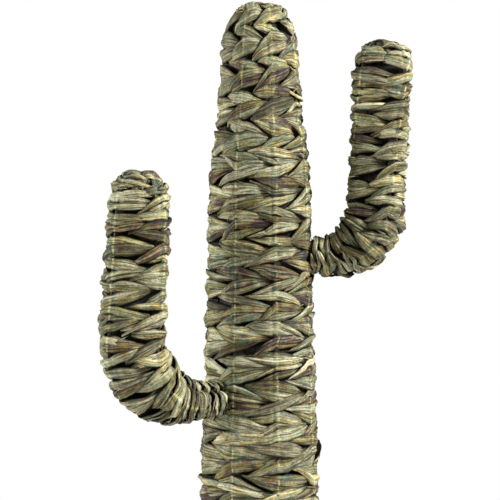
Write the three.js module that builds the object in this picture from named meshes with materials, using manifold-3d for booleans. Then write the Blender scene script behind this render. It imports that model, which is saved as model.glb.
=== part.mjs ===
// A woven saguaro ornament: bands of dried leaf wrapped round a welded cage of steel rods.
// Millimetres, +Z up. The origin is the middle of the flat underside of the base plate.
// -Y is the front and +X is the viewer's right, so a heading of 0 degrees looks along -Y
// and a heading of 90 degrees looks along +X.
import * as THREE from 'three';
import { mergeVertices } from 'three/addons/utils/BufferGeometryUtils.js';
import Module from 'manifold-3d';

// ---- driving dimensions ----
const GAP = 0.3;                    // left between two pieces that touch
const SEAM = 0.7;                   // left between two neighbouring columns of weave

const TRUNK = {
  ribs: 8,
  phase: 16.5,                      // heading of the first rib, degrees
  rod: 2.5,                         // rod radius
  radiusAtFloor: 81.5,              // from the axis to the rod centres
  taper: 0.0325,                    // radius lost for each millimetre of height
  shoulder: 700,                    // height where the straight rods end
  crown: 893,                       // height of the rod centres at the top
  weaveEnd: 13,                     // radius where the wrapped columns end
  fullness: 0.95,                   // how square the dome is
  drawIn: 0.65,                     // how much of its radius the dome keeps above the shoulder
  disc: 9,                          // radius of the crown disc
  button: 7,                        // the top of the weave above the crown
  ridge: 5,                         // weave over a rod
  panel: 6,                         // weave over the middle of a panel
};

const ARM = {
  ribs: 4, rod: 2.25, weaveEnd: 9, fullness: 0.6, drawIn: 0.97, disc: 5, button: 6.5, ridge: 4.5, panel: 8,
  stubRadius: 19.5,
  flare: 14,                        // the stub starts to widen this far before its bend
};

const LEFT_ARM = {
  name: 'left_arm', heading: -51, height: 391, bendStart: 113, bendRadius: 88, bendAngle: 93.7,
  low: 41.5, high: 38, shoulder: 629, crown: 671.5, twist: [-65, -30, -33],
};

const RIGHT_ARM = {
  name: 'right_arm', heading: 84, height: 572, bendStart: 86, bendRadius: 64, bendAngle: 87,
  low: 35, high: 37.5, shoulder: 813, crown: 843, twist: [-20, -19, 4],
};

const BASE = { radius: 80, thickness: 3, chamfer: 0.8 };
const HOOP = { radius: 2, heights: [14, 200, 490, 690] };
const ARM_HOOPS = [8, 14, 18];      // the stations along an arm that have a hoop
const DISC_THICKNESS = 3;
const PLATE = { width: 42, height: 40, thickness: 3, behind: 2.8 };
const LINING = 1.5;                 // how far the weave reaches inside the plane of the rods
const ROD_SIDES = 8;

// ---- materials ----
const steel = () => new THREE.MeshStandardMaterial({ color: 0x2b2a28, roughness: 0.6, metalness: 0.8 });
const leaf = () => new THREE.MeshStandardMaterial({ color: 0x8b8a55, roughness: 0.75, metalness: 0 });

// ---- small helpers ----
const rad = THREE.MathUtils.degToRad;
const UP = new THREE.Vector3(0, 0, 1);
const heading = (degrees) => new THREE.Vector3(Math.sin(rad(degrees)), -Math.cos(rad(degrees)), 0);
const model = new THREE.Group();

function addMesh(name, geometry, material) {
  const mesh = new THREE.Mesh(geometry, material);
  mesh.name = name;
  model.add(mesh);
  return mesh;
}

// ---- a cage: rings of points, one ring for each station along a trunk or an arm ----
// A ring has a centre, a forward axis, an outer axis, a radius and a twist.
function rodPoint(ring, rib, ribs, radius = ring.radius) {
  const side = new THREE.Vector3().crossVectors(ring.forward, ring.outer);
  const angle = rad(ring.twist + (360 / ribs) * (rib + 0.5));
  return ring.centre.clone()
    .addScaledVector(ring.outer, radius * Math.cos(angle))
    .addScaledVector(side, radius * Math.sin(angle));
}

function direction(points, index) {
  const before = points[Math.max(index - 1, 0)];
  const after = points[Math.min(index + 1, points.length - 1)];
  return new THREE.Vector3().subVectors(after, before).normalize();
}

// The flat panel between a rib and the next one: its middle line and its outward normals.
function panelBetween(rings, rib, ribs) {
  const near = rings.map((ring) => rodPoint(ring, rib, ribs));
  const far = rings.map((ring) => rodPoint(ring, rib + 1, ribs));
  const middle = near.map((point, i) => point.clone().lerp(far[i], 0.5));
  const normal = middle.map((_, i) => new THREE.Vector3()
    .subVectors(far[i], near[i])
    .cross(direction(middle, i))
    .normalize());
  return { middle, normal };
}

// Everything that a piece on one rib is placed by, station by station.
function ribFrames(rings, rib, ribs) {
  const centres = rings.map((ring) => rodPoint(ring, rib, ribs));
  const next = panelBetween(rings, rib, ribs);
  const last = panelBetween(rings, rib - 1, ribs);
  return centres.map((centre, i) => {
    const outward = new THREE.Vector3().addVectors(next.normal[i], last.normal[i]).normalize();
    const across = new THREE.Vector3().crossVectors(outward, direction(centres, i)).normalize();
    const panels = {
      [-1]: { middle: next.middle[i], normal: next.normal[i] },
      [1]: { middle: last.middle[i], normal: last.normal[i] },
    };
    return { centre, outward, across, panels };
  });
}

// A point of a section is either rigid { x, y }, or lies over the rod { turn, over },
// or lies along a panel { side, along, over }.
function place(frame, point) {
  if (point.x !== undefined) {
    return frame.centre.clone()
      .addScaledVector(frame.across, point.x)
      .addScaledVector(frame.outward, point.y);
  }
  if (point.turn !== undefined) {
    const normal = frame.panels[-1].normal.clone()
      .lerp(frame.panels[1].normal, (point.turn + 1) / 2)
      .normalize();
    return frame.centre.clone().addScaledVector(normal, point.over);
  }
  const panel = frame.panels[point.side];
  const reach = new THREE.Vector3().subVectors(panel.middle, frame.centre);
  const length = reach.length() * point.along - (point.along === 1 ? SEAM / 2 : 0);
  return frame.centre.clone()
    .addScaledVector(reach.normalize(), length)
    .addScaledVector(panel.normal, point.over);
}

// Extrudes a section and carries each of its corners along the frames.
function sweep(section, frames) {
  const first = frames[0];
  const flat = section.map((point) => {
    const offset = place(first, point).sub(first.centre);
    return new THREE.Vector2(offset.dot(first.across), offset.dot(first.outward));
  });
  const steps = frames.length - 1;
  const options = { depth: steps, steps, bevelEnabled: false, curveSegments: 1 };
  const geometry = new THREE.ExtrudeGeometry(new THREE.Shape(flat), options);
  const position = geometry.attributes.position;
  for (let i = 0; i < position.count; i += 1) {
    const corner = new THREE.Vector2(position.getX(i), position.getY(i));
    const distances = flat.map((point) => point.distanceTo(corner));
    const index = distances.indexOf(Math.min(...distances));
    const spot = place(frames[Math.round(position.getZ(i))], section[index]);
    position.setXYZ(i, spot.x, spot.y, spot.z);
  }
  geometry.computeVertexNormals();
  return geometry;
}

function roundSection(radius) {
  return Array.from({ length: ROD_SIDES }, (_, i) => {
    const angle = (2 * Math.PI * (i + 0.5)) / ROD_SIDES;
    return { x: radius * Math.cos(angle), y: radius * Math.sin(angle) };
  });
}

// One wrapped column: a band from mid-panel to mid-panel with a groove that the rod lies in.
function weaveSection(cage) {
  const clear = cage.rod + GAP + 0.2;
  return [
    { side: -1, along: 1, over: cage.panel },
    { side: -1, along: 1, over: -LINING },
    { x: -clear, y: -clear },
    { x: -clear, y: clear * 0.5 },
    { x: 0, y: clear * 1.3 },
    { x: clear, y: clear * 0.5 },
    { x: clear, y: -clear },
    { side: 1, along: 1, over: -LINING },
    { side: 1, along: 1, over: cage.panel },
    { side: 1, along: 0.45, over: cage.panel * 0.9 },
    { turn: 0.6, over: cage.ridge },
    { turn: -0.6, over: cage.ridge },
    { side: -1, along: 0.45, over: cage.panel * 0.9 },
  ];
}

// ---- stations ----
// The dome's profile, as points of { x: radius, y: height } above its first ring.
function domeProfile(cage, radius, start, end, steps) {
  const curve = new THREE.CubicBezierCurve(
    new THREE.Vector2(radius, start),
    new THREE.Vector2(radius * cage.drawIn, (start + end) / 2),
    new THREE.Vector2(THREE.MathUtils.lerp(cage.weaveEnd, radius, cage.fullness), end),
    new THREE.Vector2(cage.weaveEnd, end),
  );
  return curve.getPoints(steps).slice(1);
}

const trunkRadius = (z) => TRUNK.radiusAtFloor - TRUNK.taper * z;

function trunkRings() {
  const ring = (radius, z) => ({
    centre: new THREE.Vector3(0, 0, z), forward: UP, outer: heading(0), radius,
    twist: TRUNK.phase - 180 / TRUNK.ribs,
  });
  const foot = BASE.thickness + GAP;
  const straight = [foot, 300, 560, TRUNK.shoulder].map((z) => ring(trunkRadius(z), z));
  const dome = domeProfile(TRUNK, trunkRadius(TRUNK.shoulder), TRUNK.shoulder, TRUNK.crown, 8);
  const rods = ring(TRUNK.disc + GAP, TRUNK.crown);
  return [...straight, ...dome.map((point) => ring(point.x, point.y)), rods];
}

const panelDistance = (z) => trunkRadius(z) * Math.cos(Math.PI / TRUNK.ribs);

function armRings(arm) {
  const away = heading(arm.heading);
  const face = panelDistance(arm.height);
  const [stubTwist, lowTwist, highTwist] = arm.twist;
  const rings = [];
  const add = (reach, z, tilt, radius, twist) => rings.push({
    centre: away.clone().multiplyScalar(reach).setZ(z),
    forward: away.clone().multiplyScalar(Math.cos(tilt)).addScaledVector(UP, Math.sin(tilt)),
    outer: away.clone().multiplyScalar(Math.sin(tilt)).addScaledVector(UP, -Math.cos(tilt)),
    radius, twist,
  });
  add(face - PLATE.behind + GAP, arm.height, 0, ARM.stubRadius, stubTwist);
  add(face + TRUNK.panel + 4 * GAP, arm.height, 0, ARM.stubRadius, stubTwist);
  add(arm.bendStart - ARM.flare, arm.height, 0, ARM.stubRadius, stubTwist);
  const bendSteps = 10;
  for (let i = 0; i <= bendSteps; i += 1) {
    const tilt = rad(arm.bendAngle) * (i / bendSteps);
    const growth = THREE.MathUtils.smoothstep(i / bendSteps, -0.25, 0.7);
    const twist = THREE.MathUtils.lerp(stubTwist, lowTwist, i / bendSteps);
    const radius = THREE.MathUtils.lerp(ARM.stubRadius, arm.low, growth);
    const reach = arm.bendStart + arm.bendRadius * Math.sin(tilt);
    add(reach, arm.height + arm.bendRadius * (1 - Math.cos(tilt)), tilt, radius, twist);
  }
  const tilt = rad(arm.bendAngle);
  const elbow = rings[rings.length - 1].centre.clone();
  const elbowReach = elbow.dot(away);
  const climb = (z, radius, share) => add(
    elbowReach + (z - elbow.z) / Math.tan(tilt), z, tilt, radius,
    THREE.MathUtils.lerp(lowTwist, highTwist, share),
  );
  const uprightSteps = 5;
  for (let i = 1; i <= uprightSteps; i += 1) {
    const share = i / uprightSteps;
    climb(THREE.MathUtils.lerp(elbow.z, arm.shoulder, share),
      THREE.MathUtils.lerp(arm.low, arm.high, share), share);
  }
  const dome = domeProfile(ARM, arm.high, arm.shoulder, arm.crown, 5);
  dome.forEach((point) => climb(point.y, point.x, 1));
  climb(arm.crown, ARM.disc + GAP, 1);
  return rings;
}

// ---- booleans ----
const wasm = await Module();
wasm.setup();

function toSolid(geometry) {
  const bare = geometry.clone();
  bare.deleteAttribute('normal');
  bare.deleteAttribute('uv');
  const merged = mergeVertices(bare, 1e-4);
  return new wasm.Manifold(new wasm.Mesh({
    numProp: 3,
    vertProperties: new Float32Array(merged.attributes.position.array),
    triVerts: new Uint32Array(merged.index.array),
  }));
}

function toGeometry(solid) {
  const { vertProperties, triVerts } = solid.getMesh();
  const geometry = new THREE.BufferGeometry();
  geometry.setAttribute('position', new THREE.BufferAttribute(vertProperties, 3));
  geometry.setIndex(new THREE.BufferAttribute(triVerts, 1));
  return geometry;
}

// ---- pieces ----
const lathe = (profile, sides) =>
  new THREE.LatheGeometry(profile.map(([x, y]) => new THREE.Vector2(x, y)), sides);

function basePlate() {
  const { radius, thickness, chamfer } = BASE;
  const corner = thickness - chamfer;
  const profile = [[0, 0], [radius, 0], [radius, corner], [radius - chamfer, thickness], [0, thickness]];
  addMesh('base_plate', lathe(profile, 48), steel()).rotation.x = Math.PI / 2;
}

// A hoop follows the ribs: it has a corner at each rod and touches it from inside.
function hoop(name, ring, cage) {
  const radius = ring.radius - cage.rod - HOOP.radius - GAP;
  const mesh = addMesh(name, new THREE.TorusGeometry(radius, HOOP.radius, ROD_SIDES, cage.ribs), steel());
  const corner = rodPoint(ring, 0, cage.ribs).sub(ring.centre).normalize();
  const side = new THREE.Vector3().crossVectors(ring.forward, corner);
  mesh.quaternion.setFromRotationMatrix(new THREE.Matrix4().makeBasis(corner, side, ring.forward));
  mesh.position.copy(ring.centre);
}

// A steel disc between the rod ends, and the woven button that closes the dome above it.
function crown(prefix, rings, cage) {
  const ring = rings[rings.length - 1];
  const turn = new THREE.Quaternion().setFromUnitVectors(new THREE.Vector3(0, 1, 0), ring.forward);
  const plate = new THREE.CylinderGeometry(cage.disc, cage.disc, DISC_THICKNESS, 24);
  const disc = addMesh(`${prefix}_crown_disc`, plate, steel());
  disc.position.copy(ring.centre);
  disc.quaternion.copy(turn);
  const lift = cage.rod + GAP;
  const rise = cage.button - lift;
  const rim = cage.weaveEnd * Math.cos(Math.PI / cage.ribs) - 2 * GAP;
  const profile = [[0, 0], [rim, 0], [rim, rise * 0.55], [rim * 0.6, rise * 0.9], [0, rise]];
  const button = addMesh(`${prefix}_weave_button`, lathe(profile, 16), leaf());
  button.position.copy(ring.centre).addScaledVector(ring.forward, lift);
  button.quaternion.copy(turn);
}

function rods(prefix, rings, cage) {
  for (let rib = 0; rib < cage.ribs; rib += 1) {
    const geometry = sweep(roundSection(cage.rod), ribFrames(rings, rib, cage.ribs));
    addMesh(`${prefix}_rod_${rib + 1}`, geometry, steel());
  }
}

// The columns start at the given ring and stop one ring before the rods do.
function weave(prefix, rings, cage, start, cutters) {
  for (let rib = 0; rib < cage.ribs; rib += 1) {
    const frames = ribFrames(rings, rib, cage.ribs).slice(start, -1);
    let geometry = sweep(weaveSection(cage), frames);
    if (cutters.length > 0) {
      geometry = toGeometry(cutters.reduce((solid, cutter) => solid.subtract(cutter), toSolid(geometry)));
    }
    addMesh(`${prefix}_weave_${rib + 1}`, geometry, leaf());
  }
}

// The plate that an arm's rods are welded to, set between two trunk rods behind the weave.
function armPlate(arm) {
  const { width, height, thickness, behind } = PLATE;
  const away = heading(arm.heading);
  const side = new THREE.Vector3().crossVectors(UP, away);
  const mesh = addMesh(`${arm.name}_plate`, new THREE.BoxGeometry(thickness, width, height), steel());
  mesh.position.copy(away).multiplyScalar(panelDistance(arm.height) - behind - thickness / 2);
  mesh.position.z = arm.height;
  mesh.quaternion.setFromRotationMatrix(new THREE.Matrix4().makeBasis(away, side, UP));
}

// Holes through the trunk's weave for the rods of an arm.
function rodHoles(rings) {
  const [inner, outer] = rings;
  return Array.from({ length: ARM.ribs }, (_, rib) => {
    const from = rodPoint(inner, rib, ARM.ribs).addScaledVector(inner.forward, -2);
    const to = rodPoint(outer, rib, ARM.ribs).addScaledVector(outer.forward, 4);
    const hole = new THREE.CylinderGeometry(ARM.rod + GAP, ARM.rod + GAP, from.distanceTo(to), 12);
    const turn = new THREE.Quaternion().setFromUnitVectors(new THREE.Vector3(0, 1, 0), inner.forward);
    hole.applyQuaternion(turn);
    hole.translate(...from.lerp(to, 0.5).toArray());
    return toSolid(hole);
  });
}

function arm(design, rings) {
  rods(design.name, rings, ARM);
  armPlate(design);
  ARM_HOOPS.forEach((station, i) => {
    hoop(`${design.name}_hoop_${i + 1}`, rings[station], ARM);
  });
  crown(design.name, rings, ARM);
  weave(design.name, rings, ARM, 1, []);
}

// ---- assembly ----
const trunk = trunkRings();
const leftRings = armRings(LEFT_ARM);
const rightRings = armRings(RIGHT_ARM);

basePlate();
rods('trunk', trunk, TRUNK);
HOOP.heights.forEach((z, i) => {
  const ring = { ...trunk[0], centre: new THREE.Vector3(0, 0, z), radius: trunkRadius(z) };
  hoop(`trunk_hoop_${i + 1}`, ring, TRUNK);
});
crown('trunk', trunk, TRUNK);
weave('trunk', trunk, TRUNK, 0, [...rodHoles(leftRings), ...rodHoles(rightRings)]);
arm(LEFT_ARM, leftRings);
arm(RIGHT_ARM, rightRings);

export default model;
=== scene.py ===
"""A woven saguaro ornament: folded leaf strips lapped over the ribs of a welded steel cage.

Metres. -Y is the front, +X the viewer's right, and the base plate stands on z = 0.
The trunk and the arms are cages of rods. Each rod is a rib, and has a column of strips wrapped over it.
Every strip is placed by two numbers on its cage: s, the distance along the ribs, and a, the distance
across a panel from the strip's own rib, positive towards the next rib to the right.
"""
import math

import bpy
import numpy as np
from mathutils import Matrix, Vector


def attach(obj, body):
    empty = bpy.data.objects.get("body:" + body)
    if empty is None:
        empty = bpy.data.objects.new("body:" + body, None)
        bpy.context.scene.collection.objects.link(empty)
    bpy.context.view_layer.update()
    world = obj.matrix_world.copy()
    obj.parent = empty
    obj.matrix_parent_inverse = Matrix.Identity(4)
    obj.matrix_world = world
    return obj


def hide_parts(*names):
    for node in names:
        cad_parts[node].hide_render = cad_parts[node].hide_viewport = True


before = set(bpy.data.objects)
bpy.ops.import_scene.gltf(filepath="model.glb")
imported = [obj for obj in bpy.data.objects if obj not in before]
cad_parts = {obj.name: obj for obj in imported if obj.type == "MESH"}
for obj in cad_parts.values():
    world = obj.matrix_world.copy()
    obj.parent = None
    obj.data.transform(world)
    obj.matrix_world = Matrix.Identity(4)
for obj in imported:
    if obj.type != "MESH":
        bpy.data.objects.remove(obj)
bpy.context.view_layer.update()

MM = 0.001

# ---- cages: how the strips lie on each one ----
TRUNK = {
    "name": "trunk",
    "seed": 11,
    "ribs": 8,
    "rod": 2.5 * MM,                    # rod radius
    "start_ring": 0,                    # the ring of the rods where the weave begins
    "narrowest": 19 * MM,               # the weave ends where its panels get narrower than this
    "pitch": ((250, 39), (450, 37.5), (580, 35.5), (700, 38.5), (820, 41)),  # (s, length), both in mm
    "pitch_follows_panel": 0.0,         # 1 where a pitch gets shorter as the panels get narrower
    "anchor": 542 * MM,                 # the s of the middle of one pitch of the first rib
    "strips_odds": (0.22, 0.53, 0.25),  # how likely each number in STRIPS is
    "fullness": (1.05, 1.42),           # width of a strip over its even share of the pitch
    "plump": (1.5 * MM, 4.2 * MM),      # how far its face arches
    "bulge": 2.0 * MM,                  # how far it bows off its panel
    "waist": 0.08,                      # how much narrower it is over the rod
    "taper": ((1.0, 1.7), (1.3, 2.6)),  # how late it narrows towards its left and its right tip
    "tip": ((0.05, 0.2), (0.15, 0.4)),  # width of its left and its right tip over its full width
    "reach": (0.72, 0.95),              # how far across their panels the left and the right tips lie
    "scatter": (0.04, 0.08),            # spread of the left and of the right tips, in pitches
    "disorder": 0.08,                   # spread of a whole pitch's tips, in pitches
}
ARM = {
    "ribs": 4,
    "rod": 2.25 * MM,
    "start_ring": 1,
    "narrowest": 33 * MM,
    "pitch": ((0, 30),),
    "pitch_follows_panel": 1.0,
    "anchor": 40 * MM,
    "strips_odds": (0.5, 0.5, 0.0),
    "fullness": (1.05, 1.32),
    "plump": (2.4 * MM, 5.6 * MM),
    "bulge": 4.0 * MM,
    "waist": 0.25,
    "taper": ((1.5, 2.5), (1.8, 3.2)),
    "tip": ((0.12, 0.32), (0.3, 0.55)),
    "reach": (0.7, 0.88),
    "scatter": (0.1, 0.14),
    "disorder": 0.11,
}
LEFT_ARM = {**ARM, "name": "left_arm", "seed": 23}
RIGHT_ARM = {**ARM, "name": "right_arm", "seed": 61}

ROD_SIDES = 8
TABLE_STEP = 0.5 * MM        # spacing of the tables that hold the ribs
WRAP = 1.3 * MM              # from a rod's surface to the middle of the leaf over it
LEAF = 0.9 * MM              # thickness of a folded strip
START_GAP = 2 * MM           # the weave begins this far past its start ring
OVERRUN = 12 * MM            # a strip may run this far past the end of its column

# ---- how the strips share a rib ----
STRIPS = (2, 3, 4)           # how many strips may share a pitch of a straight rib
LEFT_TIPS = 0.485            # how far the left tips lie above the right tips they meet, in pitches
RIGHT_FAN = 0.2              # how far the right tips of a pitch fan out, in pitches
CROSSINGS = 0.96             # how far the places where they cross the rod spread, in pitches
CROSSING_SCATTER = 0.035     # in pitches
REACH_SCATTER = (0.09, 0.06)  # of the left and of the right tips, in panel widths
FARTHEST = 0.96              # no point of a strip lies farther across a panel than this share of it
WISP_ODDS = 0.5              # loose shreds for each pitch of a rib
STRAY_ODDS = 0.2             # loose fibres for each pitch of a rib

# ---- a strip's own shape ----
# A detail is the number of rings along a strip, then of points across its face and across its back.
STRIP_DETAIL = (37, 23, 5)
WISP_DETAIL = (25, 7, 3)
STRAY_DETAIL = (15, 5, 3)
CREASES = ((1.4, 2.6, 1.2 * MM), (2.8, 4.6, 0.95 * MM), (5, 8.5, 0.5 * MM))  # fewest, most, and depth
FOLD_ODDS = 0.5              # the share of the strips that have a folded edge
FOLD_STEP = 1.1 * MM
EDGE_DROP = 1.0 * MM         # how far the edges curl down
SLOW_WAVE = 0.7 * MM
SWAY = 0.4 * MM              # how far the middle line strays from its path
WAIST_LENGTH = 7 * MM        # how far from the rod the waist reaches
FRAYING = 0.05               # how uneven the edges are, as a share of the half width
TIGHT_LENGTH = 3.0 * MM      # a strip is drawn tight over a rod this far to each side,
TIGHTNESS = 0.88             # and loses this share of its relief there
PINCH_AT = 4.8 * MM          # beside the rod it is pulled in
PINCH_LENGTH = 2.0 * MM
FULL_RELIEF = 12 * MM        # a strip narrower than this has less relief
DIVE_FROM = 0.5              # the share of the way to a tip where a strip starts to dive under its neighbours
DARKEST_DIVE = 6 * MM        # a dive this deep is in full shade
RIB_BAND = 24 * MM           # the width round a rib in which its stains with painted shade and its line of wear with painted highlight are drawn
BRIGHTEST = 2.0              # a strip's brightness is stored as a share of this
CREST_BLUR = 0.04            # a strip's tone changes over this far to each side of its crest,
TONE_CHANGES = (0.16, 0.08, 0.3)  # by these spreads of its hue, its brightness and its dye
UV_SPREAD = 3                # strips take their fibres from places up to this far apart, in metres


# ---- ribs, read from the rods of the frame ----
def rod_rings(node, start):
    """The centres of a rod's rings, in order from the end nearest to start."""
    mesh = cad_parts[node].data
    spots = np.array([v.co for v in mesh.vertices]).round(7)
    unique, index = np.unique(spots, axis=0, return_inverse=True)
    index = index.ravel()
    neighbours = [set() for _ in unique]
    for edge in mesh.edges:
        one, other = (int(index[v]) for v in edge.vertices)
        neighbours[one].add(other)
        neighbours[other].add(one)
    first = unique[np.argmin(start(unique))]
    layer = set(np.argsort(np.linalg.norm(unique - first, axis=1))[:ROD_SIDES].tolist())
    seen = set(layer)
    centres = []
    while layer:
        centres.append(unique[sorted(layer)].mean(axis=0))
        layer = set().union(*(neighbours[v] for v in layer)) - seen
        seen |= layer
    return np.array(centres)


def smooth_table(knots, values, at):
    """A smooth curve through the values at the knots, read at evenly spaced places."""
    gaps = np.diff(knots)[:, None]
    slopes = np.diff(values, axis=0) / gaps
    inner = (slopes[:-1] * gaps[1:] + slopes[1:] * gaps[:-1]) / (gaps[:-1] + gaps[1:])
    tangents = np.vstack([slopes[:1], inner, slopes[-1:]])
    i = np.clip(np.searchsorted(knots, at, side="right") - 1, 0, len(knots) - 2)
    gap = gaps[i]
    t = ((at - knots[i])[:, None]) / gap
    return ((1 + 2 * t) * (1 - t) ** 2 * values[i] + t * (1 - t) ** 2 * gap * tangents[i]
            + t * t * (3 - 2 * t) * values[i + 1] + t * t * (t - 1) * gap * tangents[i + 1])


def unit(vectors):
    return vectors / np.maximum(np.linalg.norm(vectors, axis=-1, keepdims=True), 1e-12)


def height_over_floor(points):
    return points[:, 2]


def distance_from_trunk(points):
    return np.hypot(points[:, 0], points[:, 1])


def build_cage(design):
    """A design together with the tables that place() reads, one row for each rib."""
    start = height_over_floor if design["name"] == "trunk" else distance_from_trunk
    rods = np.array([rod_rings(f"{design['name']}_rod_{i + 1}", start) for i in range(design["ribs"])])
    steps = np.linalg.norm(np.diff(rods, axis=1), axis=2).mean(axis=0)
    knots = np.concatenate([[0], np.cumsum(steps)])
    table = np.arange(0, knots[-1], TABLE_STEP)
    ribs = np.array([smooth_table(knots, rod, table) for rod in rods])
    tangents = unit(np.gradient(ribs, axis=1))
    to_next = np.roll(ribs, -1, axis=0) - ribs
    widths = np.linalg.norm(to_next, axis=2)
    across = unit(to_next)
    normals = unit(np.cross(across, unit(tangents + np.roll(tangents, -1, axis=0))))
    mean_rods = rods.mean(axis=0)
    return {
        **design,
        "table": table,        # the s of each entry of the tables below
        "centres": ribs,
        "widths": widths,      # of the panel from a rib to the next one on its right
        "across": across,      # from the rib over that panel
        "normals": normals,    # out of that panel
        # the length of a rib for each metre of s
        "stretches": np.linalg.norm(np.gradient(ribs, axis=1), axis=2) / TABLE_STEP,
        "begin": knots[design["start_ring"]],
        "end": table[np.nonzero(widths.mean(axis=0) > design["narrowest"])[0][-1]],
        "last_ring": mean_rods[-2],
        "axis": unit(mean_rods[-2] - mean_rods[-4]),
    }


def read(table, rib, s):
    """A table's value for one rib at the places s."""
    step = np.clip(s / TABLE_STEP, 0, table.shape[1] - 1.001)
    low = step.astype(int)
    part = step - low
    if table.ndim == 3:
        part = part[..., None]
    return table[rib, low] * (1 - part) + table[rib, low + 1] * part


def rib_on_the_left(cage, rib):
    return (rib - 1) % cage["ribs"]


def panel_widths(cage, rib, s):
    """The widths at s of the panels to the left and to the right of a rib."""
    return read(cage["widths"], rib_on_the_left(cage, rib), s), read(cage["widths"], rib, s)


def place(cage, rib, s, a, h):
    """Points that lie h above the leaf's path: over the rod near a = 0 and along the panels beyond it."""
    last = rib_on_the_left(cage, rib)
    centre = read(cage["centres"], rib, s)
    right = a[..., None] >= 0
    side = np.where(right, read(cage["across"], rib, s), -read(cage["across"], last, s))
    normal = np.where(right, read(cage["normals"], rib, s), read(cage["normals"], last, s))
    outward = unit(read(cage["normals"], rib, s) + read(cage["normals"], last, s))
    radius = cage["rod"] + WRAP
    half_turn = np.arccos(np.clip((outward * normal).sum(axis=-1), -1, 1))
    arc = radius * half_turn
    share = np.clip(np.abs(a) / np.maximum(arc, 1e-6), 0, 1)[..., None]
    direction = unit(outward * (1 - share) + normal * share)
    beyond = np.maximum(np.abs(a) - arc, 0)[..., None]
    return centre + direction * (radius + h)[..., None] + side * beyond


# ---- leaf strips ----
def fade(x, low, high):
    """A smooth step from 0 at low to 1 at high."""
    t = np.clip((x - low) / (high - low), 0, 1)
    return t * t * (3 - 2 * t)


def bell(distance, width):
    """1 at no distance, falling off to nothing over a few widths."""
    return np.exp(-(distance / width) ** 2)


def wave(rng, t, slowest, fastest):
    """A sine along t of random rate and start."""
    return np.sin(rng.uniform(slowest, fastest) * t + rng.uniform(0, 6))


class Leaves:
    """Collects strips and fibres, and turns them into one mesh."""

    def __init__(self):
        self.points, self.quads, self.caps = [], [], []
        self.uvs, self.tones, self.shapes = [], [], []
        self.count = 0

    def add_tube(self, points, uv, tone, shape):
        """A closed tube of rings: points is (rings, around, 3), and the others match it."""
        rings, around = points.shape[:2]
        index = np.arange(rings * around).reshape(rings, around) + self.count
        turned = np.roll(index, -1, axis=1)
        quads = np.stack([index[:-1], turned[:-1], turned[1:], index[1:]], axis=-1)
        self.quads.append(quads.reshape(-1, 4))
        self.caps += [index[0, ::-1], index[-1]]
        self.points.append(points.reshape(-1, 3))
        self.uvs.append(uv.reshape(-1, 2))
        self.tones.append(tone.reshape(-1, 4))
        self.shapes.append(shape.reshape(-1, 4))
        self.count += rings * around

    def build(self, name, material):
        mesh = bpy.data.meshes.new(name)
        quads = np.concatenate(self.quads)
        corners = np.concatenate([quads.ravel()] + self.caps).astype(np.int32)
        sizes = np.concatenate([np.full(len(quads), 4), [len(cap) for cap in self.caps]])
        starts = np.concatenate([[0], np.cumsum(sizes)[:-1]]).astype(np.int32)
        mesh.vertices.add(self.count)
        mesh.loops.add(len(corners))
        mesh.polygons.add(len(sizes))
        mesh.vertices.foreach_set("co", np.concatenate(self.points).astype(np.float32).ravel())
        mesh.loops.foreach_set("vertex_index", corners)
        mesh.polygons.foreach_set("loop_start", starts)
        mesh.polygons.foreach_set("use_smooth", np.ones(len(sizes), bool))
        mesh.update(calc_edges=True)
        mesh.validate()
        uv = mesh.uv_layers.new(name="leaf")
        uv.data.foreach_set("uv", np.concatenate(self.uvs)[corners].astype(np.float32).ravel())
        for key, values in (("tone", self.tones), ("shape", self.shapes)):
            attribute = mesh.attributes.new(key, "FLOAT_COLOR", "POINT")
            attribute.data.foreach_set("color", np.concatenate(values).astype(np.float32).ravel())
        mesh.materials.append(material)
        piece = bpy.data.objects.new(name, mesh)
        bpy.context.scene.collection.objects.link(piece)
        return piece


def leaf_relief(rng, x, t, plump, creased):
    """The height of a strip's face over its path, and the line of its crest. x runs across the strip and t
    along it, both from -1 to 1. The face is an arch with lengthwise creases, often a fold, and slow waves."""
    crest = rng.uniform(-0.45, 0.45) + rng.uniform(-0.3, 0.3) * t
    roof = 1 - np.abs(x - crest) / (1 + np.abs(crest))
    height = plump * (0.35 * (1 - x * x) + 0.65 * roof)
    counts = [rng.uniform(fewest, most) for fewest, most, _ in CREASES]
    for count, (_, _, depth) in zip(counts, CREASES):
        bend = rng.uniform(-1.3, 1.3) * t + rng.uniform(0.1, 0.5) * wave(rng, t, 2, 5)
        valley = np.abs(np.sin(count * math.pi * (x + 1) / 2 + rng.uniform(0, math.pi) + bend))
        swell = 0.65 + 0.35 * wave(rng, t, 2, 6)
        height = height + creased * depth * swell * (valley ** 0.8 - 0.6)
    if rng.random() < FOLD_ODDS:
        fold = rng.uniform(0.1, 0.7) + rng.uniform(-0.4, 0.4) * t
        across = x * rng.choice([-1, 1])
        height = height + creased * FOLD_STEP * fade(across, fold, fold + 0.1)
    height = height - EDGE_DROP * np.abs(x) ** 7
    return height + creased * SLOW_WAVE * wave(rng, t, 2, 5), crest


def random_tone(rng, painted_shade=0.0):
    """Where a strip's colour lies in the palette, how bright it is, and how much stray dye it took. A strip
    in the shade inside the cage is darkened by the given share, as painted shade.
    """
    hue = np.clip(rng.normal(0.5, 0.31), 0.06, 0.97)
    bright = np.clip(rng.normal(0.94, 0.22), 0.4, 1.22) * (1 - painted_shade)
    dye = rng.random() ** 1.6
    return np.array([hue, bright / BRIGHTEST, dye, 1])


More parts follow.
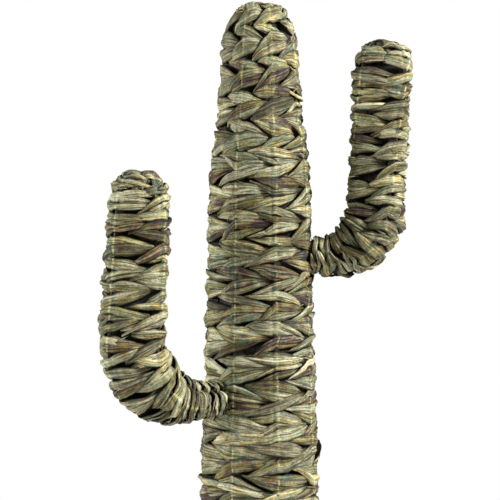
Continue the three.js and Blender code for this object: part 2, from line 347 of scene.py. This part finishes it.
def add_strip(leaves, rng, to_points, ends, width, options, detail=STRIP_DETAIL):
    """One folded strip. ends holds its two tips as (a, s) and the s where it crosses its rib. to_points turns
    its flat points (s, a) and heights into places."""
    along, across, under = detail
    (a0, s0), (a1, s1), s_mid = ends
    q = np.linspace(-1, 1, along)
    # The rings stand closest together at the rod, where the strip bends most.
    dense = 0.5 * q + 0.5 * q ** 3
    share = np.abs(dense)

    def by_side(pair):
        return np.where(dense < 0, *pair)

    a_line = by_side((-a0, a1)) * dense
    s_line = s_mid + (by_side((s0, s1)) - s_mid) * share ** options["bend"]
    s_line = s_line + SWAY * wave(rng, q, 3, 8)
    taper = 1 - (1 - by_side(options["tip"])) * share ** by_side(options["taper"])
    half = width * taper * (1 - options["waist"] * bell(a_line, WAIST_LENGTH)) / 2

    face = np.linspace(1, -1, across)
    back = np.linspace(-1, 1, under + 2)[1:-1]
    x = np.concatenate([face, back])[None, :]
    hidden = np.concatenate([np.zeros(across), np.ones(under)])[None, :]
    t = q[:, None]
    frayed = 1 + FRAYING * np.sin(rng.uniform(9, 16) * t + np.sign(x) * rng.uniform(1, 3)) * np.abs(x)
    s = s_line[:, None] + x * frayed * half[:, None]
    a = a_line[:, None] + 0 * x
    relief, crest = leaf_relief(rng, x, t, options["plump"], options["creased"])
    narrow = np.clip(half * 2 / FULL_RELIEF, 0.25, 1)
    height = relief * ((1 - TIGHTNESS * bell(a_line, TIGHT_LENGTH)) * narrow)[:, None]
    pinch = options["pinch"] * bell(np.abs(a_line) - PINCH_AT, PINCH_LENGTH)
    dive = by_side(options["dive"]) * fade(share, DIVE_FROM, 1.0)
    lie = options["bulge"] * np.sin(math.pi * share) - pinch - dive
    height = height + lie[:, None] + x * half[:, None] * math.tan(options["roll"]) + options["lift"]
    # The back lies a leaf's thickness under the face, and less than that at the edges.
    height = height - hidden * LEAF * (0.3 + 0.7 * (1 - np.abs(x) ** 6))

    uv_s = x * half[:, None] + rng.uniform(0, UV_SPREAD)
    uv_a = a_line[:, None] + rng.uniform(0, UV_SPREAD) + 0 * x
    past_rib = np.clip(0.5 + a_line / RIB_BAND, 0, 1)[:, None] + 0 * x
    # These shape values make the material paint shade at the strip's edges and where it dives.
    depth = (dive / DARKEST_DIVE)[:, None] + 0 * x
    shape = np.stack([past_rib, np.abs(x) + 0 * t, depth, 1 + 0 * depth], axis=-1)
    past_crest = fade(x, crest - CREST_BLUR, crest + CREST_BLUR)[..., None]
    changes = [rng.normal(0, spread) for spread in TONE_CHANGES]
    tone = options["tone"] + past_crest * [*changes, 0]
    leaves.add_tube(to_points(s, a, height), np.stack([uv_s, uv_a], axis=-1), np.clip(tone, 0, 1), shape)


def strip_options(rng, cage):
    """A strip's own numbers, drawn at random within its cage's limits. Where there are two, they are for its
    left and its right side."""
    return {
        "tone": random_tone(rng),
        "tip": tuple(rng.uniform(*limits) for limits in cage["tip"]),
        "taper": tuple(rng.uniform(*limits) for limits in cage["taper"]),
        "plump": rng.uniform(*cage["plump"]),
        "creased": 1.0,
        "bulge": cage["bulge"] * rng.uniform(0.4, 1.2),
        "pinch": rng.uniform(0.4, 1.5) * MM,
        "dive": (rng.uniform(0.5, 3.5) * MM, rng.uniform(3, 6) * MM),
        "roll": rng.normal(0.06, 0.2),
        "lift": rng.uniform(-0.8, 1.8) * MM,
        "bend": rng.uniform(0.85, 1.2),
        "waist": cage["waist"] * rng.uniform(0.5, 1.5),
    }


def on_column(cage, rib, crossing, aside=0.0):
    """Turns flat points of one rib's column into places, and keeps them on the woven length. Where the
    panels get narrower than they are at the crossing, the strip draws in with them. A strip that lies aside
    has its middle that far across the panel instead of on the rib."""
    panels = cage["widths"].mean(axis=0)
    here = np.interp(crossing, cage["table"], panels)

    def to_points(s, a, h):
        on_cage = np.clip(s, cage["begin"] + START_GAP, cage["end"] + OVERRUN)
        narrowing = np.clip(np.interp(on_cage, cage["table"], panels) / here, 0.3, 1.25)
        left, right = panel_widths(cage, rib, on_cage)
        across = np.clip((a + aside) * narrowing, -left * FARTHEST, right * FARTHEST)
        return place(cage, rib, on_cage, across, h)
    return to_points


def column_strip(leaves, rng, cage, rib, tips, crossing, width):
    """One strip over a rib, from its tip in the panel on the left to its tip in the one on the right."""
    tip_left, tip_right = tips
    left, right = (float(panel) for panel in panel_widths(cage, rib, np.array(crossing)))
    a0 = -left * (cage["reach"][0] + rng.normal(0, REACH_SCATTER[0]))
    a1 = right * (cage["reach"][1] + rng.normal(0, REACH_SCATTER[1]))
    ends = ((a0, tip_left), (a1, tip_right), crossing)
    add_strip(leaves, rng, on_column(cage, rib, crossing), ends, width, strip_options(rng, cage))


def wisp(leaves, rng, cage, rib, s, pitch):
    """A narrow shred of leaf that lies loose on the strips."""
    _, right = panel_widths(cage, rib, np.array(s))
    half = float(right) * rng.uniform(0.2, 0.42)
    middle = rng.uniform(-0.45, 0.45) * half
    lean = rng.uniform(-0.25, 0.25) * pitch
    options = strip_options(rng, cage)
    options.update(tip=(0.15, 0.15), taper=(1.5, 1.5), plump=0.3 * MM, dive=(2.5 * MM, 2.5 * MM),
                   lift=rng.uniform(0.6, 1.6) * MM)
    ends = ((-half, s - lean), (half, s + lean), s)
    width = rng.uniform(1.6, 4.0) * MM
    add_strip(leaves, rng, on_column(cage, rib, s, middle), ends, width, options, WISP_DETAIL)


def stray(leaves, rng, cage, rib, s):
    """A fibre that has come loose at one end."""
    options = strip_options(rng, cage)
    options.update(tip=(0.1, 0.5), taper=(1, 1), plump=0.2 * MM, dive=(rng.uniform(-5, -2) * MM, 2 * MM),
                   lift=0.8 * MM, waist=0)
    half = rng.uniform(6, 14) * MM
    lean = rng.uniform(-6, 6) * MM
    middle = rng.uniform(0, 10) * MM
    ends = ((-half, s - lean), (half, s + lean), s)
    width = rng.uniform(0.9, 1.8) * MM
    add_strip(leaves, rng, on_column(cage, rib, s, middle), ends, width, options, STRAY_DETAIL)


def ribbon(leaves, rng, cage, rib, s_line, a, height, painted_shade, thickness):
    """A long strip that runs up a cage instead of across it: a and height are (rings, points across)."""
    x = np.linspace(1, -1, a.shape[1])[None, :] + 0 * a
    x = np.concatenate([x, x[:, -2:0:-1]], axis=1)
    hidden = np.concatenate([0 * a, 1 + 0 * a[:, -2:0:-1]], axis=1)
    a = np.concatenate([a, a[:, -2:0:-1]], axis=1)
    height = np.concatenate([height, height[:, -2:0:-1]], axis=1) - hidden * thickness
    s = s_line[:, None] + 0 * a
    uv = np.stack([a + rng.uniform(0, UV_SPREAD), s + rng.uniform(0, UV_SPREAD)], axis=-1)
    # Ribbons are painted as shade: the tone is darkened by the given share, and the shape value asks for deep
    # shade.
    in_shade = 0.8
    shape = np.stack([0 * a, np.abs(x), in_shade + 0 * a, 1 + 0 * a], axis=-1)
    tone = random_tone(rng, painted_shade) + 0 * a[..., None]
    leaves.add_tube(place(cage, rib, s, a, height), uv, tone, shape)


def lining(leaves, rng, cage, rib):
    """The return passes of the strips behind a panel, darkened almost to black as painted shade for the
    inside of the cage.
    """
    s_line = np.arange(cage["begin"] + START_GAP, cage["end"], 5 * MM)
    a = np.linspace(1, 0, 7)[None, :] * read(cage["widths"], rib, s_line)[:, None]
    ripple = 1.2 * MM * np.sin(s_line / (2.7 * MM) + rng.uniform(0, 6))
    behind_rods = 2.4 * MM
    height = ripple[:, None] - (cage["rod"] + WRAP + behind_rods) + 0 * a
    ribbon(leaves, rng, cage, rib, s_line, a, height, painted_shade=0.93, thickness=LEAF)


def rod_binding(leaves, rng, cage, rib):
    """The strip bound along a rod, under the others: a narrow roof with its ridge on the rod, darkened as
    painted shade.
    """
    s_line = np.arange(cage["begin"] + START_GAP, cage["end"], 4 * MM)
    half = 14 * MM + 0.6 * MM * np.sin(s_line / (9 * MM) + rng.uniform(0, 6))
    a = np.linspace(1, -1, 13)[None, :] * half[:, None]
    ridge = 0.25 * MM - WRAP
    slope = 0.34
    ribbon(leaves, rng, cage, rib, s_line, a, ridge - np.abs(a) * slope, painted_shade=0.8, thickness=0.5 * MM)


def foot_binding(leaves, rng, cage, rib):
    """Strips laid level round the foot, where the weave ends on the base plate."""
    left, right = (float(panel) for panel in panel_widths(cage, rib, np.array(cage["begin"])))
    rows = 3
    first_row = 7 * MM
    row_step = 8 * MM
    overlap = 0.6
    for row in range(rows):
        s = cage["begin"] + first_row + row_step * row
        options = strip_options(rng, cage)
        options.update(tip=(0.5, 0.5), taper=(2, 2), dive=(1 * MM, 2 * MM), lift=rng.uniform(0.8, 2.0) * MM,
                       plump=rng.uniform(0.6, 1.6) * MM, bend=1)
        rise = rng.uniform(-1.5, 1.5) * MM
        ends = ((-left * overlap, s - rise), (right * overlap, s + rise), s)
        add_strip(leaves, rng, on_column(cage, rib, s), ends, rng.uniform(10, 13) * MM, options)


def pitches(cage, rib):
    """The places and lengths of a rib's pitches. The strips run round the cage as a screw thread, so each
    rib's pitches lie a little above those of the rib on its left."""
    knots, lengths = np.array(cage["pitch"]).T * MM
    panel = cage["widths"].mean(axis=0)
    ratio = np.clip(panel / panel.max(), 0.5, 1) ** cage["pitch_follows_panel"]
    length = np.interp(cage["table"], knots, lengths) * ratio
    phase = np.concatenate([[0], np.cumsum(TABLE_STEP / length)[:-1]])

    def at(count):
        return float(np.interp(count, phase, cage["table"]))

    anchor = np.interp(cage["anchor"], cage["table"], phase) + rib / cage["ribs"]
    first = np.interp(cage["begin"] + 2 * START_GAP, cage["table"], phase)
    last = np.interp(cage["end"], cage["table"], phase) + 0.3
    counts = np.arange(anchor % 1 + math.floor(first) - 1, last)
    return [(at(c), at(c + 0.5) - at(c - 0.5)) for c in counts if c > first - 0.4]


def finish_piece(leaves, name, node, material):
    """Makes the piece that stands for a plain node of the frame."""
    piece = leaves.build(name, material)
    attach(piece, "root")
    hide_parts(node)


def weave_column(cage, rib, material):
    """Every strip that is wrapped over one rib. Between two ribs the strips of the left one close up to a
    tip on the right, those of the right one to a tip on the left, and the two sets fill each other's gaps."""
    rng = np.random.default_rng([cage["seed"], rib])
    leaves = Leaves()
    places = pitches(cage, rib)
    jitter = rng.normal(0, cage["disorder"], (len(places) + 1, 2))
    above_middle = LEFT_TIPS - 1 / cage["ribs"]
    for k, (s, pitch) in enumerate(places):
        # A rib on the outside of a bend is longer, so it takes more strips.
        stretch = float(read(cage["stretches"], rib, np.array(s)))
        strips = max(1, round(rng.choice(STRIPS, p=cage["strips_odds"]) * stretch))
        for i in range(strips):
            level = (i + 0.5) / strips - 0.5
            is_middle = abs(level) <= 0.01
            upward = level > 0.01 or (is_middle and rng.random() < 0.5)
            tip_right = jitter[k, 0] + RIGHT_FAN * level + rng.normal(0, cage["scatter"][1])
            tip_left = above_middle + jitter[k + 1, 1] if upward else above_middle - 1 + jitter[k, 1]
            tip_left = tip_left + rng.normal(0, cage["scatter"][0])
            crossing = s + (level * CROSSINGS + rng.normal(0, CROSSING_SCATTER)) * pitch
            width = pitch * rng.uniform(*cage["fullness"]) / strips
            tips = (s + tip_left * pitch, s + tip_right * pitch)
            column_strip(leaves, rng, cage, rib, tips, crossing, width)
        if rng.random() < WISP_ODDS:
            wisp(leaves, rng, cage, rib, s + rng.uniform(-0.5, 0.5) * pitch, pitch)
        if rng.random() < STRAY_ODDS:
            stray(leaves, rng, cage, rib, s + rng.uniform(-0.5, 0.5) * pitch)
    lining(leaves, rng, cage, rib)
    rod_binding(leaves, rng, cage, rib)
    if cage["name"] == "trunk":
        foot_binding(leaves, rng, cage, rib)
    name = f"{cage['name']}_leaf_strips_{rib + 1}"
    finish_piece(leaves, name, f"{cage['name']}_weave_{rib + 1}", material)


def dome_profile(cage):
    """The dome of a cage, read from its first rib: radii from small to large, the height of the rib over the
    last ring at each of them, and the radius where the columns end."""
    rib = cage["centres"][0]
    axis = cage["axis"]
    offsets = rib - cage["centres"].mean(axis=0)[-1]
    radii = np.linalg.norm(offsets - (offsets @ axis)[:, None] * axis, axis=1)
    heights = (rib - cage["last_ring"]) @ axis
    upper_third = slice(len(radii) * 2 // 3, None)
    order = np.argsort(radii[upper_third])
    radius_at_end = float(np.interp(cage["end"], cage["table"], radii))
    return radii[upper_third][order], heights[upper_third][order], radius_at_end


def cap_options(rng):
    """The options of a strip that is laid flat over a dome."""
    return {
        "tone": random_tone(rng),
        "tip": rng.uniform(0.25, 0.45, 2),
        "taper": rng.uniform(1.6, 2.4, 2),
        "plump": rng.uniform(1.8, 3.0) * MM,
        "creased": 0.5,
        "bulge": 0.5 * MM,
        "pinch": 0,
        "dive": (5 * MM, 5 * MM),
        "roll": rng.normal(0, 0.06),
        "lift": 0,
        "bend": 1.4,
        "waist": 0,
    }


def crown_cap(cage, material):
    """Strips laid over the top of a dome, where the columns end."""
    cap_number = 99             # no rib has it, so the cap gets random numbers of its own
    rng = np.random.default_rng([cage["seed"], cap_number])
    leaves = Leaves()
    axis = cage["axis"]
    off_axis = (0.3, 1.0, 0.1)
    side = unit(np.cross(axis, off_axis))
    over = np.cross(axis, side)
    radius_table, height_table, radius_at_end = dome_profile(cage)
    overlap = 12 * MM           # how far the cap lies over the ends of the columns
    reach = radius_at_end + overlap
    strips = 8
    steps_between = 3           # each strip is turned this many eighths of a half turn from the last
    lowest_layer = -5.0 * MM
    layer_step = 0.9 * MM
    for k in range(strips):
        turn = math.radians(180 / strips * steps_between * k + rng.uniform(-10, 10))
        ahead = math.cos(turn) * side + math.sin(turn) * over
        beside = np.cross(axis, ahead)
        shift = rng.uniform(-0.4, 0.4) * reach
        layer = lowest_layer + layer_step * k

        def to_points(s, a, h):
            flat = a[..., None] * ahead + (s + shift)[..., None] * beside
            radius = np.linalg.norm(flat, axis=-1)
            height = np.interp(radius, radius_table, height_table) + cage["rod"] + WRAP
            return cage["last_ring"] + flat + (height + h + layer)[..., None] * axis

        options = cap_options(rng)
        length = reach * rng.uniform(0.8, 1.0)
        sweep = rng.uniform(-0.12, 0.12) * reach
        ends = ((-length, sweep), (length, sweep), 0)
        add_strip(leaves, rng, to_points, ends, rng.uniform(16, 22) * MM, options)
    finish_piece(leaves, f"{cage['name']}_leaf_cap", f"{cage['name']}_weave_button", material)


# ---- materials ----
class Nodes:
    """A short way to wire up a material."""

    def __init__(self, name):
        self.material = bpy.data.materials.new(name)
        self.material.use_nodes = True
        self.tree = self.material.node_tree
        self.tree.nodes.clear()
        output = self.tree.nodes.new("ShaderNodeOutputMaterial")
        self.shader = self.tree.nodes.new("ShaderNodeBsdfPrincipled")
        self.link(self.shader.outputs["BSDF"], output.inputs["Surface"])

    def link(self, source, target):
        self.tree.links.new(source, target)

    def put(self, socket, value):
        if isinstance(value, bpy.types.NodeSocket):
            self.link(value, socket)
        else:
            socket.default_value = value

    def math(self, operation, one, other=0.0, clamp=False):
        node = self.tree.nodes.new("ShaderNodeMath")
        node.operation = operation
        node.use_clamp = clamp
        self.put(node.inputs[0], one)
        self.put(node.inputs[1], other)
        return node.outputs[0]

    def product(self, first, *others):
        for other in others:
            first = self.math("MULTIPLY", first, other)
        return first

    def total(self, first, *others):
        for other in others:
            first = self.math("ADD", first, other)
        return first

    def scaled(self, source, scale):
        node = self.tree.nodes.new("ShaderNodeMapping")
        self.link(source, node.inputs["Vector"])
        node.inputs["Scale"].default_value = scale
        return node.outputs["Vector"]

    def noise(self, vector, scale, detail=3.0, roughness=0.55):
        node = self.tree.nodes.new("ShaderNodeTexNoise")
        self.link(vector, node.inputs["Vector"])
        node.inputs["Scale"].default_value = scale
        node.inputs["Detail"].default_value = detail
        node.inputs["Roughness"].default_value = roughness
        return node.outputs["Fac"]

    def spread(self, value, low, high, new_low=0.0, new_high=1.0):
        """A smooth step from new_low at low to new_high at high."""
        node = self.tree.nodes.new("ShaderNodeMapRange")
        node.interpolation_type = "SMOOTHSTEP"
        self.put(node.inputs["Value"], value)
        node.inputs["From Min"].default_value = low
        node.inputs["From Max"].default_value = high
        node.inputs["To Min"].default_value = new_low
        node.inputs["To Max"].default_value = new_high
        return node.outputs["Result"]

    def ridge(self, value, rise, fall):
        """1 between the rise and the fall, each of them a pair of values, and 0 outside them."""
        return self.math("SUBTRACT", self.spread(value, *rise), self.spread(value, *fall))

    def ramp(self, value, stops):
        node = self.tree.nodes.new("ShaderNodeValToRGB")
        elements = node.color_ramp.elements
        while len(elements) < len(stops):
            elements.new(0.5)
        for element, (position, colour) in zip(elements, stops):
            element.position = position
            element.color = (*colour, 1)
        self.put(node.inputs["Fac"], value)
        return node.outputs["Color"]

    def mix(self, factor, one, other, blend="MIX"):
        node = self.tree.nodes.new("ShaderNodeMix")
        node.data_type = "RGBA"
        node.blend_type = blend
        self.put(node.inputs["Factor"], factor)
        for name, value in (("A", one), ("B", other)):
            socket = [i for i in node.inputs if i.name == name and i.type == "RGBA"][0]
            self.put(socket, value if isinstance(value, bpy.types.NodeSocket) else (*value, 1))
        return [o for o in node.outputs if o.type == "RGBA"][0]

    def grey(self, value):
        node = self.tree.nodes.new("ShaderNodeCombineColor")
        for socket in ("Red", "Green", "Blue"):
            self.link(value, node.inputs[socket])
        return node.outputs["Color"]

    def attribute(self, name):
        node = self.tree.nodes.new("ShaderNodeAttribute")
        node.attribute_name = name
        split = self.tree.nodes.new("ShaderNodeSeparateColor")
        self.link(node.outputs["Color"], split.inputs["Color"])
        return split.outputs["Red"], split.outputs["Green"], split.outputs["Blue"]

    def leaf_uv(self):
        node = self.tree.nodes.new("ShaderNodeUVMap")
        node.uv_map = "leaf"
        return node.outputs["UV"]

    def object_place(self):
        return self.tree.nodes.new("ShaderNodeTexCoord").outputs["Object"]

    def bump(self, height, distance, strength):
        node = self.tree.nodes.new("ShaderNodeBump")
        self.link(height, node.inputs["Height"])
        node.inputs["Distance"].default_value = distance
        node.inputs["Strength"].default_value = strength
        self.link(node.outputs["Normal"], self.shader.inputs["Normal"])


def srgb(red, green, blue):
    """A colour given as the eye sees it, 11 to 255, as the light that Blender works in."""
    return tuple(((c / 255 + 0.055) / 1.055) ** 2.4 for c in (red, green, blue))


LEAF_PALETTE = (
    (0.00, srgb(84, 68, 63)),       # purple brown
    (0.06, srgb(118, 98, 76)),
    (0.18, srgb(144, 127, 62)),     # olive
    (0.32, srgb(114, 126, 92)),     # dull green
    (0.46, srgb(154, 142, 107)),
    (0.60, srgb(175, 170, 134)),    # straw
    (0.72, srgb(118, 136, 114)),    # blue green
    (0.84, srgb(176, 153, 80)),     # ochre
    (1.00, srgb(186, 185, 152)),    # pale
)
DYE_GREEN = srgb(88, 116, 84)
DYE_TEAL = srgb(62, 98, 92)
RUST = srgb(150, 100, 66)
# Green stains deepened with painted shade, drawn left of each rib.
RIB_STAIN_AND_SHADE = srgb(74, 92, 58)
# A pale colour for wear on the rib, lightened with painted highlight.
WORN_AND_HIGHLIT_LEAF = srgb(214, 208, 140)
# A painted highlight for the lightest parts of the leaf.
PAINTED_HIGHLIGHT = srgb(192, 198, 170)
WARM_SHADE = (1.13, 1.0, 0.86)      # what the shaded parts are multiplied by


def leaf_colour(n, spot, hue, dye, streak, band, mottle):
    """The palette, drifting along the fibres, with patches of stray dye and rust."""
    drift = n.math("SUBTRACT", n.total(streak, band), 1.0)
    colour = n.ramp(n.math("ADD", hue, drift, clamp=True), LEAF_PALETTE)
    green = n.product(dye, n.spread(mottle, 0.45, 0.68), 0.7)
    colour = n.mix(green, colour, DYE_GREEN)
    teal = n.product(n.spread(n.noise(spot, 38, 2, 0.5), 0.62, 0.74), 0.6)
    colour = n.mix(teal, colour, DYE_TEAL)
    rusty = n.product(n.spread(n.noise(spot, 47, 2, 0.5), 0.66, 0.76), 0.45)
    return n.mix(rusty, colour, RUST)


def rib_marks(n, spot, colour, past_rib, mottle):
    """A deep green mark to the left of each rib, partly green stains and partly painted shade, and a pale
    line on the rib, partly wear and partly painted highlight. past_rib is 0.5 at the rib.
    """
    # Left of the rod: green stains with painted shade.
    stain_and_shade = n.ridge(past_rib, (0.30, 0.37), (0.45, 0.49))
    colour = n.mix(n.product(stain_and_shade, n.spread(mottle, 0.4, 0.62, 0.1, 0.55)), colour, RIB_STAIN_AND_SHADE)
    # On the rod: wear with painted highlight.
    wear_and_highlight = n.ridge(past_rib, (0.49, 0.52), (0.56, 0.60))
    patches = n.spread(n.noise(spot, 95, 2, 0.5), 0.4, 0.6, 0.1, 0.65)
    return n.mix(n.product(wear_and_highlight, patches), colour, WORN_AND_HIGHLIT_LEAF)


def leaf_shade(n, bright, fibre, streak, band, mottle, speckle, fold, edge, depth):
    """How light the leaf is: its own brightness, its fibres and stains, and painted shade in its fold lines,
    at its edges and where it dives under its neighbours.
    """
    shade = n.product(
        bright, BRIGHTEST,
        n.spread(fibre, 0.3, 0.7, 0.55, 1.45),
        n.spread(streak, 0.32, 0.68, 0.76, 1.2),
        n.spread(mottle, 0.3, 0.7, 0.72, 1.22),
        n.spread(band, 0.3, 0.7, 0.84, 1.14),
        n.spread(speckle, 0.3, 0.7, 0.7, 1.3),
        # The last three are painted shade: thin crease lines, the strip's edges, and where it dives under its
        # neighbours.
        n.spread(fold, 0.0, 0.06, 0.3, 1.0),
        n.spread(edge, 0.6, 1.0, 1.0, 0.12),
        n.spread(depth, 0.0, 1.0, 1.0, 0.42),
    )
    softened = n.total(n.product(shade, 0.45), 0.55)
    return n.math("MINIMUM", shade, softened)


def dyed_leaf():
    """Dried leaf strip, unevenly dyed green: fibres, streaks and stains, pale lines on the ribs from wear and
    painted highlight, painted shade at folds, edges and dives, and a painted highlight on the lightest parts.
    """
    n = Nodes("dyed_leaf")
    uv = n.leaf_uv()
    spot = n.object_place()
    hue, bright, dye = n.attribute("tone")
    past_rib, edge, depth = n.attribute("shape")

    # The scales are features for each metre across and along the fibres.
    fibre = n.noise(n.scaled(uv, (760, 26, 1)), 1.0, 4, 0.7)
    streak = n.noise(n.scaled(uv, (330, 12, 1)), 1.0, 4, 0.65)
    band = n.noise(n.scaled(uv, (110, 50, 1)), 1.0, 3, 0.6)
    fold_lines = n.noise(n.scaled(uv, (250, 9, 1)), 1.0, 2, 0.5)
    mottle = n.noise(spot, 55, 3, 0.6)
    speckle = n.noise(spot, 420, 2, 0.6)
    fold = n.math("ABSOLUTE", n.math("SUBTRACT", fold_lines, 0.5))

    colour = leaf_colour(n, spot, hue, dye, streak, band, mottle)
    colour = rib_marks(n, spot, colour, past_rib, mottle)
    shade = leaf_shade(n, bright, fibre, streak, band, mottle, speckle, fold, edge, depth)
    colour = n.mix(1.0, colour, n.grey(shade), "MULTIPLY")
    # Painted highlight: the lightest parts are mixed towards a pale neutral.
    colour = n.mix(n.spread(shade, 0.95, 1.5, 0.0, 0.45), colour, PAINTED_HIGHLIGHT)
    colour = n.mix(n.spread(shade, 0.1, 0.6, 1.0, 0.0), colour, WARM_SHADE, "MULTIPLY")
    n.link(colour, n.shader.inputs["Base Color"])
    n.link(n.spread(streak, 0.3, 0.7, 0.8, 0.58), n.shader.inputs["Roughness"])
    n.shader.inputs["Specular IOR Level"].default_value = 0.3
    relief = n.total(n.product(fibre, 0.6), n.product(streak, 1.2), n.product(speckle, 0.2),
                     n.spread(fold, 0.0, 0.1, 0.0, 0.35))
    n.bump(relief, 0.8 * MM, 1.0)
    return n.material


def dark_steel(name, tone, rust):
    """Black-lacquered steel with rubbed and rusty patches."""
    n = Nodes(name)
    spot = n.object_place()
    patch = n.noise(spot, 60, 4, 0.6)
    grain = n.noise(spot, 700, 3, 0.6)
    colour = n.mix(n.spread(patch, 0.52, 0.72, 0, rust), tone, srgb(92, 58, 38))
    colour = n.mix(n.spread(grain, 0.35, 0.7, 0, 0.35), colour, srgb(74, 72, 70))
    n.link(colour, n.shader.inputs["Base Color"])
    n.link(n.spread(grain, 0.3, 0.7, 0.42, 0.66), n.shader.inputs["Roughness"])
    n.shader.inputs["Metallic"].default_value = 0.35
    n.bump(n.total(grain, n.product(patch, 0.6)), 0.25 * MM, 0.5)
    return n.material


def dress_steel():
    """Gives every steel node of the frame its material."""
    cage_steel = dark_steel("cage_steel", srgb(36, 34, 33), 0.7)
    base_steel = dark_steel("base_steel", srgb(30, 29, 28), 0.25)
    for name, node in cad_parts.items():
        if "weave" in name:
            continue
        node.data.materials.clear()
        node.data.materials.append(base_steel if name == "base_plate" else cage_steel)


# ---- stage ----
def floor_paper():
    """Plain pale paper."""
    n = Nodes("floor_paper")
    n.shader.inputs["Roughness"].default_value = 0.9
    tints = [(0.0, (0.80, 0.80, 0.80)), (1.0, (0.86, 0.86, 0.86))]
    n.link(n.ramp(n.noise(n.object_place(), 3), tints), n.shader.inputs["Base Color"])
    return n.material


def make_floor():
    """A pale round floor that ends before the front camera would see it."""
    radius = 1.4
    corners = 96
    angles = [2 * math.pi * i / corners for i in range(corners)]
    ring = [(radius * math.cos(angle), radius * math.sin(angle), 0) for angle in angles]
    mesh = bpy.data.meshes.new("floor")
    mesh.from_pydata(ring, [], [list(range(corners))])
    mesh.materials.append(floor_paper())
    floor = bpy.data.objects.new("floor", mesh)
    bpy.context.scene.collection.objects.link(floor)


def make_light(name, position, power, colour):
    """A round soft light that faces the middle of the figure."""
    data = bpy.data.lights.new(name, "AREA")
    data.shape = "DISK"
    data.size = 0.6
    data.energy = power
    data.color = colour
    light = bpy.data.objects.new(name, data)
    light.location = position
    target = Vector((0, 0, 0.55))
    light.rotation_euler = (target - light.location).to_track_quat("-Z", "Y").to_euler()
    bpy.context.scene.collection.objects.link(light)


def make_studio():
    """A surround that the camera sees white but that lights only weakly, a key from the upper right and a
    weaker fill from the left."""
    world = bpy.data.worlds.new("studio")
    world.use_nodes = True
    tree = world.node_tree
    background = tree.nodes["Background"]
    background.inputs["Color"].default_value = (1, 1, 1, 1)
    seen = tree.nodes.new("ShaderNodeLightPath").outputs["Is Camera Ray"]
    strength = tree.nodes.new("ShaderNodeMapRange")
    tree.links.new(seen, strength.inputs["Value"])
    strength.inputs["To Min"].default_value = 0.28
    strength.inputs["To Max"].default_value = 1.0
    tree.links.new(strength.outputs["Result"], background.inputs["Strength"])
    scene = bpy.context.scene
    scene.world = world
    scene.view_settings.view_transform = "Standard"
    make_light("key", (1.9, -0.95, 1.9), 120, (1.0, 0.98, 1.0))
    make_light("fill", (-2.15, -0.4, 0.9), 52, (0.98, 0.98, 1.0))


def make_camera():
    """A level front view. The whole figure is taller than the view, which leaves out its foot."""
    distance = 2.0
    view_width = 0.65
    view_middle = (-0.013, 0.580)
    data = bpy.data.cameras.new("camera")
    data.sensor_width = 36
    data.lens = data.sensor_width * distance / view_width
    camera = bpy.data.objects.new("camera", data)
    camera.location = (view_middle[0], -distance, view_middle[1])
    camera.rotation_euler = (math.radians(90), 0, 0)
    bpy.context.scene.collection.objects.link(camera)
    bpy.context.scene.camera = camera


# ---- making ----
make_camera()
make_floor()
make_studio()
dress_steel()
leaf = dyed_leaf()
for design in (TRUNK, LEFT_ARM, RIGHT_ARM):
    cage = build_cage(design)
    for rib in range(cage["ribs"]):
        weave_column(cage, rib, leaf)
    crown_cap(cage, leaf)
